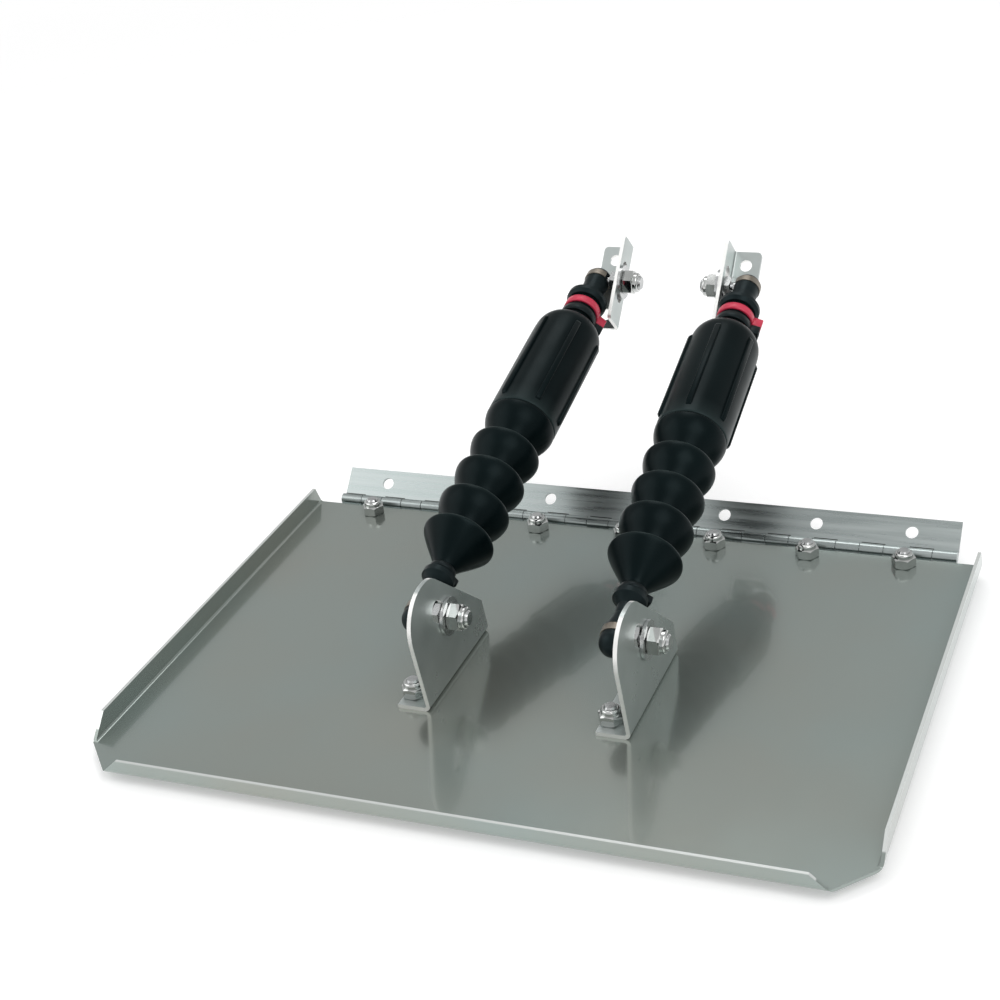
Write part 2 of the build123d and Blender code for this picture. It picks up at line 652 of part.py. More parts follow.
for side in lower_x:
    hand = upper_side[side]
    top_ball = span[side]
    collar_under = top_ball - upper_neck - upper_collar_h
    cylinder_end = top_ball - cylinder_drop
    cylinder_start = cylinder_end - cylinder_len
    sleeve_start = collar_under - sleeve_len
    dome_top = collar_under - boot_neck
    guide_start = cylinder_start + cylinder_wall
    seal_start = guide_start + guide_h
    piston_start = seal_start + seal_h + piston_rest

    # Lower socket: housing, neck, collar and the stem inside the boot's cuff
    stem_end = cone_start + 1
    lower_points = [
        (socket_neck_d / 2, socket_len + clip_w),
        (socket_neck_d / 2, lower_neck - 3),
        (lower_collar_d / 2 - 1, lower_neck),
        (lower_collar_d / 2, lower_neck + 1),
        (lower_collar_d / 2, cuff_start),
        (stem_d / 2, cuff_start),
        (stem_d / 2, stem_end),
    ]
    lower_socket = socket_body(side, 0, 1, 1, lower_points, rod_start, lower_tail, socket_d / 2)
    finish(lower_socket, "lower_socket_" + side)
    finish(clip(side, 0, 1, 1), "lower_clip_" + side)

    # Upper socket: housing, neck, round collar and the spigot inside the boot's neck
    collar_r = upper_collar_d / 2
    spigot_end = dome_top
    upper_points = [
        (upper_neck_d / 2, top_ball - socket_len - 1),
        (upper_neck_d / 2, top_ball - upper_neck + 1),
        (collar_r - 2.5, top_ball - upper_neck),
        (collar_r, top_ball - upper_neck - 2.5),
        (collar_r, collar_under + 2),
        (collar_r - 1.5, collar_under),
        (spigot_d / 2, collar_under),
        (spigot_d / 2, spigot_end),
    ]
    upper_socket = socket_body(side, top_ball, -1, hand, upper_points, spigot_end + thread_depth, 0, upper_end_r)
    finish(upper_socket, "upper_socket_" + side)
    finish(clip(side, top_ball, -1, hand), "upper_clip_" + side)

    # Gas spring: tube with a rolled lower end and an end stud, guide, seal, rod and piston
    with BuildPart() as gas_cylinder:
        with BuildSketch(spring_plane(side, cylinder_start)):
            Circle(cylinder_d / 2)
        extrude(amount=cylinder_len)
        with BuildSketch(spring_plane(side, guide_start)):
            Circle(bore_r)
        extrude(amount=cylinder_len - 3 * cylinder_wall, mode=Mode.SUBTRACT)
        with BuildSketch(spring_plane(side, cylinder_start)):
            Circle(rod_d / 2 + 1)
        extrude(amount=guide_h, mode=Mode.SUBTRACT)
        with BuildSketch(spring_plane(side, cylinder_end)):
            Circle(rod_d / 2)
        extrude(amount=dome_top + thread_depth - 1 - cylinder_end)
    finish(gas_cylinder, "gas_cylinder_" + side)

    with BuildPart() as rod_guide:
        with BuildSketch(spring_plane(side, guide_start)):
            Circle(bore_r)
            Circle(rod_d / 2 + running_fit, mode=Mode.SUBTRACT)
        extrude(amount=guide_h)
    finish(rod_guide, "rod_guide_" + side)

    with BuildPart() as rod_seal:
        with BuildSketch(spring_plane(side, seal_start)):
            Circle(bore_r)
            Circle(rod_d / 2 + running_fit, mode=Mode.SUBTRACT)
        extrude(amount=seal_h)
    finish(rod_seal, "rod_seal_" + side)

    with BuildPart() as piston_rod:
        with BuildSketch(spring_plane(side, rod_start)):
            Circle(rod_d / 2)
        extrude(amount=piston_start + piston_h + 2 - rod_start)
    finish(piston_rod, "piston_rod_" + side)

    with BuildPart() as piston:
        with BuildSketch(spring_plane(side, piston_start)):
            Circle(bore_r - running_fit)
            Circle(rod_d / 2 + thread_fit, mode=Mode.SUBTRACT)
        extrude(amount=piston_h)
    finish(piston, "piston_" + side)

    # Boot sleeve: hollow barrel with a domed shoulder, a neck for the ties and long ribs
    plane = profile_plane(side)
    shoulder = dome_top - dome_h
    wall_r = boot_d / 2 - boot_wall
    neck_r = boot_neck_d / 2
    throat_r = spigot_d / 2 + boot_fit
    with BuildPart() as boot_sleeve:
        with BuildSketch(plane):
            with BuildLine():
                Line((wall_r, sleeve_start), (boot_d / 2, sleeve_start))
                Line((boot_d / 2, sleeve_start), (boot_d / 2, shoulder))
                TangentArc((boot_d / 2, shoulder), (neck_r, dome_top), tangent=(0, 1))
                Polyline(
                    (neck_r, dome_top), (neck_r, collar_under), (throat_r, collar_under),
                    (throat_r, dome_top - boot_wall),
                )
                TangentArc((wall_r, shoulder), (throat_r, dome_top - boot_wall), tangent=(0, 1))
                Line((wall_r, shoulder), (wall_r, sleeve_start))
            make_face()
        revolve(axis=Axis(plane.origin, plane.y_dir))
        root_r = boot_d / 2 - boot_wall / 2
        crest_r = boot_d / 2 + rib_h
        rib_start = sleeve_start + rib_inset
        for i in range(rib_count):
            with BuildSketch(profile_plane(side, rib_turn[side] + i * 360 / rib_count)):
                with BuildLine():
                    Polyline(
                        (root_r, rib_start), (boot_d / 2, rib_start), (crest_r, rib_start + 2 * rib_h),
                        (crest_r, shoulder - 2 * rib_h), (root_r, shoulder), close=True,
                    )
                make_face()
            extrude(amount=rib_w / 2, both=True)
    finish(boot_sleeve, "boot_sleeve_" + side)

    # Bellows: cuff, straight cone, then bowls that each hang from the rim above
    top = sleeve_start - soft_gap
    pitch = (top - cone_rim) / folds
    ledge = pitch / 9
    skin = bellows_wall
    with BuildPart() as boot_bellows:
        with BuildSketch(plane):
            with BuildLine():
                Polyline(
                    (cuff_d / 2, cuff_start), (cuff_d / 2, cone_start),
                    (rim_d / 2, cone_rim), (root_d / 2, cone_rim + ledge),
                )
                for i in range(1, folds + 1):
                    low_t = cone_rim + (i - 1) * pitch + ledge
                    high_t = cone_rim + i * pitch
                    if i < folds:
                        ThreePointArc(
                            (root_d / 2, low_t),
                            ((0.42 * root_d + 0.58 * rim_d) / 2 + 1.6, (low_t + high_t) / 2 - 0.4),
                            (rim_d / 2, high_t),
                        )
                        Line((rim_d / 2, high_t), (root_d / 2, high_t + ledge))
                    else:
                        ThreePointArc(
                            (root_d / 2, low_t),
                            (boot_d / 2 - 1.6, low_t + 0.45 * (high_t - low_t)),
                            (boot_d / 2, high_t),
                        )
                Line((boot_d / 2, top), (boot_d / 2 - skin, top))
                inner = []
                for i in range(folds, 0, -1):
                    low_t = cone_rim + (i - 1) * pitch + ledge
                    high_t = cone_rim + i * pitch
                    wide = boot_d / 2 - skin if i == folds else rim_d / 2 - 1.4 * skin
                    if i == folds:
                        inner.append((wide, top))
                    else:
                        inner.append((wide, high_t - 0.6 * skin))
                    inner.append((wide * 0.5 + root_d * 0.25 + 0.9 - skin / 3, (low_t + high_t) / 2))
                    inner.append((root_d / 2 - skin, low_t + 0.4))
                    inner.append((root_d / 2 - skin, low_t - ledge * 0.5))
                Polyline(*inner)
                Polyline(
                    (root_d / 2 - skin, cone_rim + ledge * 0.5), (rim_d / 2 - 2.2 * skin, cone_rim - skin * 0.9),
                    (stem_d / 2 + 0.1, cone_start), (stem_d / 2 + 0.1, cuff_start), (cuff_d / 2, cuff_start),
                )
            make_face()
        revolve(axis=Axis(plane.origin, plane.y_dir))
    finish(boot_bellows, "boot_bellows_" + side)

    # Cable ties on the boot's neck and cuff
    turn = tie_turn[side]
    black_mid = collar_under - tie_first - tie_w / 2
    red_mid = collar_under - tie_second - tie_w / 2
    finish(tie(side, black_mid, neck_r, tie_w, tie_t, tie_head, turn + 5), "black_tie_" + side)
    finish(tie(side, red_mid, neck_r, tie_w, tie_t, tie_head, turn), "red_tie_" + side)
    cuff_mid = cuff_start + cuff_len / 2
    finish(tie(side, cuff_mid, cuff_d / 2, cuff_tie_w, cuff_tie_t, cuff_head, turn - 15), "lower_tie_" + side)

print("pin", hinge_point)
for side in lower_x:
    print(side, "lower ball", lower_ball[side], "upper ball", upper_ball[side], "axis", axis_dir[side])
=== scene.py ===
from math import cos, hypot, radians, sin

import bmesh
import bpy
from mathutils import Matrix, Vector


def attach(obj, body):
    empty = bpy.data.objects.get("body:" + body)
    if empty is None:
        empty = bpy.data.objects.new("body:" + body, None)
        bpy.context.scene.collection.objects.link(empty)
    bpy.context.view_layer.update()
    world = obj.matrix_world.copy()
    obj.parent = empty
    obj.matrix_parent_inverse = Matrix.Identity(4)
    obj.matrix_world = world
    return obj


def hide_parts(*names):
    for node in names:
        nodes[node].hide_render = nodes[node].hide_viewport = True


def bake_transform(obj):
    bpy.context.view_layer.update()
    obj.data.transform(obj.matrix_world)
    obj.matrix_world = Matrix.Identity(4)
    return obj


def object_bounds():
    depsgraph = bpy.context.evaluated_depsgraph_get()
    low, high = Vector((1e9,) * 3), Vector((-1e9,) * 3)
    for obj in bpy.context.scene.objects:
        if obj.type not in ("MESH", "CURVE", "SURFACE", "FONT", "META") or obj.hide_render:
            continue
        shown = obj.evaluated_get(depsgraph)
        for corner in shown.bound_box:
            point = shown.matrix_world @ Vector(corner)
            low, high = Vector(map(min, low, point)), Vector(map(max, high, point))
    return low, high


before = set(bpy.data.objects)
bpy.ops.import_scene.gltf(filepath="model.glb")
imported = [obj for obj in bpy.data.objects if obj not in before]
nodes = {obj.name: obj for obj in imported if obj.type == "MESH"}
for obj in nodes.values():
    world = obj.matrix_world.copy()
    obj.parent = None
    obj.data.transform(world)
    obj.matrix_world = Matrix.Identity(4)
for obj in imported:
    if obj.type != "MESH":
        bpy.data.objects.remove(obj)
cad_low, cad_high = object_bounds()

# Camera
# The tab is seen from behind the boat, a little to the right of its middle and from above, with
# the tray's trailing lip in front; its place is solved from the hinge's holes and the corners.
camera_data = bpy.data.cameras.new("camera")
camera_data.sensor_width = 36.0
camera_data.lens = 68.258
camera_data.clip_start = 0.01
camera = bpy.data.objects.new("camera", camera_data)
camera.location = (0.322197, -0.870187, 0.504791)
camera.rotation_euler = (radians(61.9197), radians(6.1025), radians(21.7008))
bpy.context.scene.collection.objects.link(camera)
bpy.context.scene.camera = camera
bpy.context.scene.view_settings.view_transform = "Standard"

# Studio
# A pale floor under a white skyline, a bright soft ceiling on the camera's side and a dim wall
# behind, with large soft lamps on the right and on the left, and one behind that lights the edges.
MM = 0.001
floor_radius = 3.0
floor_sides = 64
floor_gap = 0.2 * MM
floor_grey = (0.80, 0.80, 0.80)
floor_lift = 0.30
floor_fade = (0.45, 0.89)
skyline = (0.12, 0.26)     # heights between which the white gives way to the walls
sky_bright = 0.80
bright_side = (0.25, -0.70, 0.65)
wall_dim, wall_bright, brightest_at = (0.30, 0.31, 0.31), (0.90, 0.90, 0.90), 0.92
wall_greys = ((0.20, 0.52), (0.38, 0.72), (0.65, 0.80))
wall_red = 0.99     # of the walls' grey
lamp_aim = Vector((0, -0.08, 0.03))


def maths(tree, operation, *values):
    """Math node over sockets and numbers; returns its result."""
    node = tree.nodes.new("ShaderNodeMath")
    node.operation = operation
    for socket, value in zip(node.inputs, values):
        if isinstance(value, float):
            socket.default_value = value
        else:
            tree.links.new(value, socket)
    return node.outputs["Value"]


def along(tree, vector, direction):
    """Length of a vector socket along a direction."""
    part = tree.nodes.new("ShaderNodeVectorMath")
    part.operation = "DOT_PRODUCT"
    part.inputs[1].default_value = direction
    tree.links.new(vector, part.inputs[0])
    return part.outputs["Value"]


def ramped(tree, factor, start, end, low=(0, 0, 0), high=(1, 1, 1)):
    """Node that goes from the colour low to high while a factor goes from start to end."""
    ramp = tree.nodes.new("ShaderNodeValToRGB")
    for element, position, colour in zip(ramp.color_ramp.elements, (start, end), (low, high)):
        element.position = position
        element.color = (*colour, 1)
    tree.links.new(factor, ramp.inputs["Fac"])
    return ramp


bm = bmesh.new()
bmesh.ops.create_circle(bm, cap_ends=True, segments=floor_sides, radius=floor_radius)
floor_mesh = bpy.data.meshes.new("floor")
bm.to_mesh(floor_mesh)
bm.free()
floor_mesh.transform(Matrix.Translation((0, 0, cad_low[2] - floor_gap)))
floor = bpy.data.objects.new("floor", floor_mesh)
bpy.context.scene.collection.objects.link(floor)

paper = bpy.data.materials.new("floor_paper")
paper.use_nodes = True
tree = paper.node_tree
tree.nodes.clear()
place = tree.nodes.new("ShaderNodeTexCoord")
reach = tree.nodes.new("ShaderNodeMapping")
reach.vector_type = "TEXTURE"
reach.inputs["Scale"].default_value = (floor_radius, floor_radius, floor_radius)
fade = tree.nodes.new("ShaderNodeTexGradient")
fade.gradient_type = "SPHERICAL"
matt = tree.nodes.new("ShaderNodeBsdfDiffuse")
matt.inputs["Color"].default_value = (*floor_grey, 1)
clear = tree.nodes.new("ShaderNodeBsdfTransparent")
glow = tree.nodes.new("ShaderNodeEmission")
both = tree.nodes.new("ShaderNodeAddShader")
faded = tree.nodes.new("ShaderNodeMixShader")
out = tree.nodes.new("ShaderNodeOutputMaterial")
ray = tree.nodes.new("ShaderNodeLightPath").outputs
mirrored = maths(tree, "MAXIMUM", ray["Is Glossy Ray"], ray["Is Transmission Ray"])
seen = maths(tree, "MAXIMUM", ray["Is Camera Ray"], mirrored)
tree.links.new(maths(tree, "MULTIPLY", seen, floor_lift), glow.inputs["Strength"])
tree.links.new(matt.outputs["BSDF"], both.inputs[0])
tree.links.new(glow.outputs["Emission"], both.inputs[1])
tree.links.new(place.outputs["Object"], reach.inputs["Vector"])
tree.links.new(reach.outputs["Vector"], fade.inputs["Vector"])
tree.links.new(ramped(tree, fade.outputs["Fac"], *floor_fade).outputs["Color"], faded.inputs["Fac"])
tree.links.new(clear.outputs["BSDF"], faded.inputs[1])
tree.links.new(both.outputs["Shader"], faded.inputs[2])
tree.links.new(faded.outputs["Shader"], out.inputs["Surface"])
floor_mesh.materials.append(paper)

world = bpy.data.worlds.new("studio")
bpy.context.scene.world = world
world.use_nodes = True
tree = world.node_tree
tree.nodes.clear()
place = tree.nodes.new("ShaderNodeTexCoord")
halved = maths(tree, "MULTIPLY_ADD", along(tree, place.outputs["Generated"], bright_side), 0.5, 0.5)
walls = ramped(tree, halved, 0.0, brightest_at, wall_dim, wall_bright)
for position, grey in wall_greys:
    walls.color_ramp.elements.new(position).color = (grey * wall_red, grey, grey, 1)
room = tree.nodes.new("ShaderNodeBackground")
room.inputs["Strength"].default_value = sky_bright
white = tree.nodes.new("ShaderNodeBackground")
white.inputs["Color"].default_value = (1, 1, 1, 1)
split = tree.nodes.new("ShaderNodeSeparateXYZ")
above = tree.nodes.new("ShaderNodeMixShader")
out = tree.nodes.new("ShaderNodeOutputWorld")
tree.links.new(walls.outputs["Color"], room.inputs["Color"])
tree.links.new(place.outputs["Generated"], split.inputs["Vector"])
tree.links.new(ramped(tree, split.outputs["Z"], *skyline).outputs["Color"], above.inputs["Fac"])
tree.links.new(white.outputs["Background"], above.inputs[1])
tree.links.new(room.outputs["Background"], above.inputs[2])
tree.links.new(above.outputs["Shader"], out.inputs["Surface"])

for name, spot, size, watts in (
    ("key", Vector((0.75, -0.65, 1.35)), 1.0, 7.5),
    ("fill", Vector((-1.1, -0.5, 0.95)), 1.1, 5.0),
    ("edge", Vector((-0.2, 0.75, 1.6)), 0.8, 5.0),
):
    lamp = bpy.data.lights.new(name, "AREA")
    lamp.shape = "SQUARE"
    lamp.size = size
    lamp.energy = watts
    holder = bpy.data.objects.new(name, lamp)
    holder.location = spot
    holder.rotation_euler = (lamp_aim - spot).to_track_quat("-Z", "Y").to_euler()
    bpy.context.scene.collection.objects.link(holder)

# Tray
# One sheet of marine stainless steel with a mill finish, its sides and trailing edge folded up;
# faint cloudy marks of handling and a very fine rolled grain. The cut edges on top of the folds
# carry a painted highlight.
noise_span = (0.3, 0.7)     # the part of a noise's range that takes a finish from end to end
edge_step = 0.5 * MM
fold_height = -2.0 * MM     # what lies above it and faces up is the cut edge of a fold
# colour of the painted highlight on the cut edges of the folds
sheet_edge_highlight = (0.78, 0.81, 0.79)


def grain(tree, place, scale, stretch=(1, 1, 1), detail=4.0):
    """Noise on Object coordinates, drawn out by stretch; returns its factor."""
    mapping = tree.nodes.new("ShaderNodeMapping")
    mapping.inputs["Scale"].default_value = stretch
    noise = tree.nodes.new("ShaderNodeTexNoise")
    noise.inputs["Scale"].default_value = scale
    noise.inputs["Detail"].default_value = detail
    tree.links.new(place, mapping.inputs["Vector"])
    tree.links.new(mapping.outputs["Vector"], noise.inputs["Vector"])
    return noise.outputs["Fac"]


def shade(tree, factor, low, high, target):
    """Carry a grain from the colour low to high into a shader input."""
    tree.links.new(ramped(tree, factor, *noise_span, low, high).outputs["Color"], target)


def finish(name, colours, mottle, rough, wear, bumps=None, bump_size=None, metal=0.0):
    """A finish whose colour, roughness and fine bumps each follow a grain of their own.

    bump_size is the bumps' strength and depth. Returns the material, its tree, its shader and
    its Object coordinates.
    """
    made = bpy.data.materials.new(name)
    made.use_nodes = True
    tree = made.node_tree
    shader = tree.nodes["Principled BSDF"]
    shader.inputs["Metallic"].default_value = metal
    place = tree.nodes.new("ShaderNodeTexCoord").outputs["Object"]
    shade(tree, grain(tree, place, **mottle), *colours, shader.inputs["Base Color"])
    greys = [(grey, grey, grey) for grey in rough]
    shade(tree, grain(tree, place, **wear), *greys, shader.inputs["Roughness"])
    if bumps:
        bump = tree.nodes.new("ShaderNodeBump")
        bump.inputs["Strength"].default_value, bump.inputs["Distance"].default_value = bump_size
        tree.links.new(grain(tree, place, **bumps), bump.inputs["Height"])
        tree.links.new(bump.outputs["Normal"], shader.inputs["Normal"])
    return made, tree, shader, place


def stepped(tree, value, low, high):
    """0 below low and 1 above high."""
    ramp = tree.nodes.new("ShaderNodeMapRange")
    ramp.inputs["From Min"].default_value = low
    ramp.inputs["From Max"].default_value = high
    tree.links.new(value, ramp.inputs["Value"])
    return ramp.outputs["Result"]


def edges(tree, place, direction, beyond, square):
    """1 where the surface faces a direction and lies further than beyond along it, else 0.

    square is how squarely it faces that way, or the opposite way, where it starts to count and
    where it counts in full.
    """
    normal = tree.nodes.new("ShaderNodeTexCoord").outputs["Normal"]
    facing = stepped(tree, maths(tree, "ABSOLUTE", along(tree, normal, direction)), *square)
    past = stepped(tree, along(tree, place, direction), beyond, beyond + edge_step)
    return maths(tree, "MULTIPLY", facing, past)


def over(tree, factor, socket, colour):
    """Lay a colour over what already reaches a shader input."""
    mix = tree.nodes.new("ShaderNodeMix")
    mix.data_type = "RGBA"
    mix.inputs["B"].default_value = (*colour, 1)
    tree.links.new(socket.links[0].from_socket, mix.inputs["A"])
    tree.links.new(factor, mix.inputs["Factor"])
    tree.links.new(mix.outputs["Result"], socket)


def dress(names, made):
    """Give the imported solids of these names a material."""
    for name in names:
        for held in nodes[name].material_slots:
            held.material = made


sheet_steel, tree, shader, place = finish(
    "sheet_steel", metal=0.70,
    colours=((0.300, 0.318, 0.284), (0.284, 0.345, 0.328)), mottle=dict(scale=7.0, detail=3.0),
    rough=(0.16, 0.21), wear=dict(scale=16.0, stretch=(1, 0.6, 1)),
    bumps=dict(scale=7.0, stretch=(1, 0.5, 1), detail=0.0), bump_size=(0.10, 2.0 * MM),
)
shader.inputs["Coat Weight"].default_value = 0.60
shader.inputs["Coat Roughness"].default_value = 0.05
shader.inputs["Coat IOR"].default_value = 1.65
# Painted highlight: the cut edges on top of the folds are made lighter.
painted_fold_highlight = edges(tree, place, (0, 0, 1), fold_height, square=(0.5, 0.6))
over(tree, painted_fold_highlight, shader.inputs["Base Color"], sheet_edge_highlight)
dress(["tab_plate"], sheet_steel)

# Hinge
# Two leaves of stainless strip rolled round one long pin, drawn through a die that leaves bright
# fine lines along them; painted shade lays short dark lines where the notch gaps fall in shade.
lean = radians(46.0)     # of the transom, from the tray's normal
up_transom, off_transom = (0, sin(lean), cos(lean)), (0, -cos(lean), sin(lean))
knuckle_pair = 25.4 * MM
hinge_half = 177.8 * MM
notch_low, notch_high = -8.6 * MM, -7.7 * MM     # up the transom from the holes
notch_fade_low, notch_fade_high = 0.1 * MM, 0.3 * MM
# colour of the painted shade in the notch gaps
notch_shade_colour = (0.030, 0.027, 0.026)


def strip_finish(name):
    """Drawn steel with fine lines along the hinge."""
    return finish(
        name, metal=1.0,
        colours=((0.32, 0.36, 0.355), (0.42, 0.46, 0.455)), mottle=dict(scale=12.0, stretch=(1, 30, 30)),
        rough=(0.24, 0.34), wear=dict(scale=30.0, stretch=(0.4, 12, 12)),
        bumps=dict(scale=40.0, stretch=(0.5, 40, 40), detail=6.0), bump_size=(0.03, 0.2 * MM),
    )


hinge_steel = strip_finish("hinge_steel")[0]
dress(["moving_leaf", "hinge_pin"], hinge_steel)

# Painted shade: a dark band at the notches, where the gaps between the leaves fall in shade.
notch_shaded_steel, tree, shader, place = strip_finish("notch_shaded_steel")
across = along(tree, place, (1, 0, 0))
share = maths(tree, "FRACT", maths(tree, "MULTIPLY_ADD", across, 1 / knuckle_pair, hinge_half / knuckle_pair))
height = along(tree, place, up_transom)
band = maths(
    tree, "SUBTRACT",
    stepped(tree, height, notch_low, notch_low + notch_fade_low),
    stepped(tree, height, notch_high - notch_fade_high, notch_high),
)
painted_notch_shade = maths(tree, "MULTIPLY", maths(tree, "LESS_THAN", share, 0.5), band)
over(tree, painted_notch_shade, shader.inputs["Base Color"], notch_shade_colour)
dress(["fixed_leaf"], notch_shaded_steel)

# Brackets
# Cut from 2 mm stainless sheet, bent once and tumbled bright; the cut edges are duller than the
# faces, and their lighter colour is a painted highlight.
# colour of the painted highlight on the cut edges
cut_edge_highlight = (0.93, 0.93, 0.91)
cut_rough = (0.5, 0.5, 0.5)
everywhere = -1.0     # further back than any of the part


def bracket_finish(name, cuts):
    """Satin steel; cuts lists the directions that its cut edges face and where each begins."""
    made, tree, shader, place = finish(
        name, metal=0.85,
        colours=((0.42, 0.46, 0.45), (0.54, 0.58, 0.57)), mottle=dict(scale=25.0, detail=3.0),
        rough=(0.26, 0.36), wear=dict(scale=60.0),
        bumps=dict(scale=30.0, stretch=(1, 1, 4), detail=1.0), bump_size=(0.06, 0.5 * MM),
    )
    for direction, beyond in cuts:
        # Cut edges: rougher, as sheared steel is, and painted lighter as a painted highlight.
        edge = edges(tree, place, direction, beyond, square=(0.25, 0.35))
        over(tree, edge, shader.inputs["Base Color"], cut_edge_highlight)
        over(tree, edge, shader.inputs["Roughness"], cut_rough)
    return made


dress(
    ["lower_bracket_left", "lower_bracket_right"],
    bracket_finish("lower_bracket_steel", [((0, 1, 0), everywhere)]),
)
dress(
    ["upper_bracket_left", "upper_bracket_right"],
    bracket_finish("upper_bracket_steel", [(up_transom, everywhere), (off_transom, 3.0 * MM)]),
)

# Bolts, nuts, washers and ball studs
# Turned and cold-headed stainless fasteners with a polished skin; the nuts lock on a collar.
nut_steel = finish(
    "nut_steel", metal=1.0,
    colours=((0.50, 0.51, 0.50), (0.66, 0.67, 0.66)), mottle=dict(scale=80.0, detail=3.0),
    rough=(0.05, 0.12), wear=dict(scale=160.0),
    bumps=dict(scale=300.0), bump_size=(0.05, 0.1 * MM),
)[0]
dress(["hinge_nuts", "foot_nuts", "upper_nuts", "lower_nut_left", "lower_nut_right"], nut_steel)

stud_steel = finish(
    "stud_steel", metal=1.0,
    colours=((0.46, 0.47, 0.47), (0.60, 0.61, 0.61)), mottle=dict(scale=120.0, detail=3.0),
    rough=(0.16, 0.30), wear=dict(scale=200.0),
    bumps=dict(scale=400.0, stretch=(6, 1, 1), detail=3.0), bump_size=(0.10, 0.1 * MM),
)[0]
dress(
    ["hinge_bolts", "foot_bolts", "upper_studs", "upper_washers", "lower_stud_left", "lower_stud_right",
     "lower_washer_left", "lower_washer_right"],
    stud_steel,
)

# Gas springs
# A black enamelled steel tube and a chromed rod, with a plastic guide, seal and piston that are
# pressed in; all of it hidden in the boots.
cylinder_enamel = finish(
    "cylinder_enamel",
    colours=((0.015, 0.016, 0.016), (0.03, 0.031, 0.031)), mottle=dict(scale=70.0),
    rough=(0.25, 0.35), wear=dict(scale=200.0),
)[0]
dress(["gas_cylinder_left", "gas_cylinder_right"], cylinder_enamel)

rod_chrome = finish(
    "rod_chrome", metal=1.0,
    colours=((0.70, 0.70, 0.72), (0.82, 0.82, 0.84)), mottle=dict(scale=90.0),
    rough=(0.06, 0.12), wear=dict(scale=500.0, stretch=(1, 20, 1)),
)[0]
dress(["piston_rod_left", "piston_rod_right"], rod_chrome)

guide_plastic = finish(
    "guide_plastic",
    colours=((0.08, 0.08, 0.08), (0.13, 0.13, 0.13)), mottle=dict(scale=150.0),
    rough=(0.5, 0.6), wear=dict(scale=300.0),
)[0]
dress(
    [part + side for side in ("_left", "_right") for part in ("rod_guide", "rod_seal", "piston")],
    guide_plastic,
)

# Ball sockets
# Moulded in black glass-filled nylon, snapped over the balls and held by a narrow
# bronze-coloured spring clip.
nylon_gloss = (0.66, 0.93, 1.0, 1)

socket_nylon, tree, shader, place = finish(
    "socket_nylon",
    colours=((0.0040, 0.0070, 0.0076), (0.0080, 0.0120, 0.0128)), mottle=dict(scale=130.0),
    rough=(0.30, 0.44), wear=dict(scale=260.0),
    bumps=dict(scale=900.0, detail=3.0), bump_size=(0.12, 0.1 * MM),
)
shader.inputs["Specular IOR Level"].default_value = 0.15
shader.inputs["Specular Tint"].default_value = nylon_gloss
dress(["upper_socket_left", "upper_socket_right", "lower_socket_left", "lower_socket_right"], socket_nylon)

clip_bronze = finish(
    "clip_bronze", metal=0.85,
    colours=((0.19, 0.165, 0.135), (0.30, 0.27, 0.23)), mottle=dict(scale=150.0),
    rough=(0.34, 0.5), wear=dict(scale=300.0),
)[0]
dress(["upper_clip_left", "upper_clip_right", "lower_clip_left", "lower_clip_right"], clip_bronze)

# Boot sleeves
# Thick moulded rubber over the gas tube: a barrel with a domed shoulder, a plain neck that the
# ties clamp, and six long ribs for grip; its lip carries a painted highlight, a lighter line of colour.
ball_low = {"left": Vector((-0.053, -0.17082, 0.02893)), "right": Vector((0.048, -0.17082, 0.02893))}
ball_high = {"left": Vector((-0.044, 0.08622, 0.097859)), "right": Vector((0.0443, 0.08622, 0.097859))}
collar_back = 23.0 * MM
collar_at = {side: (ball_high[side] - ball_low[side]).length - collar_back for side in ("left", "right")}
sleeve_long = 104.0 * MM
sleeve_r = 19.25 * MM
sleeve_wall = 2.4 * MM
lip_round = 0.7 * MM
neck_r = 9.2 * MM
neck_long = 19.5 * MM
neck_wall = 1.2 * MM
dome_tall = 12.5 * MM
dome_r = 12.8 * MM
dome_in = 6.45 * MM
dome_angles, lining_angles = (10, 26, 42, 58, 70), (74, 55, 35, 15)
rib_wide = 3.0 * MM
rib_tall = 1.3 * MM
rib_deep = 0.8 * MM
rib_foot = 0.2 * MM
rib_start = 5.0 * MM
rib_total = 6
rib_turn = {"left": 5, "right": 30}
rib_round = 0.9 * MM
# width and colour of the painted highlight along the boots' lips and rims
highlight_wide = 1.3 * MM
highlight_grey = (0.026, 0.038, 0.038)
round_steps = 48

boot_rubber, tree, shader, place = finish(
    "boot_rubber",
    colours=((0.0006, 0.0026, 0.0031), (0.0019, 0.0052, 0.0058)), mottle=dict(scale=28.0, detail=5.0),
    rough=(0.28, 0.38), wear=dict(scale=45.0, detail=5.0),
    bumps=dict(scale=700.0), bump_size=(0.10, 0.2 * MM),
)
shader.inputs["Specular IOR Level"].default_value = 0.09
shader.inputs["Specular Tint"].default_value = (0.72, 0.96, 1.0, 1)
shader.inputs["Sheen Weight"].default_value = 0.05
shader.inputs["Sheen Roughness"].default_value = 0.30
shader.inputs["Sheen Tint"].default_value = (0.50, 0.80, 0.78, 1)
# Painted highlight: the lips and rims are lighter where the vertex attribute marks them.
rim_highlight = tree.nodes.new("ShaderNodeAttribute")
rim_highlight.attribute_name = "rim_highlight"
over(tree, rim_highlight.outputs["Fac"], shader.inputs["Base Color"], highlight_grey)


def along_actuator(side, turn=0.0):
    """Matrix that takes z up an actuator from its lower ball, and x out at a turn, to the row frame."""
    axis = (ball_high[side] - ball_low[side]).normalized()
    up = Vector((1, 0, 0)).cross(axis).normalized()
    out = axis.cross(up) * cos(radians(turn)) + up * sin(radians(turn))
    turned = Matrix((out, axis.cross(out), axis)).transposed().to_4x4()
    return Matrix.Translation(ball_low[side]) @ turned


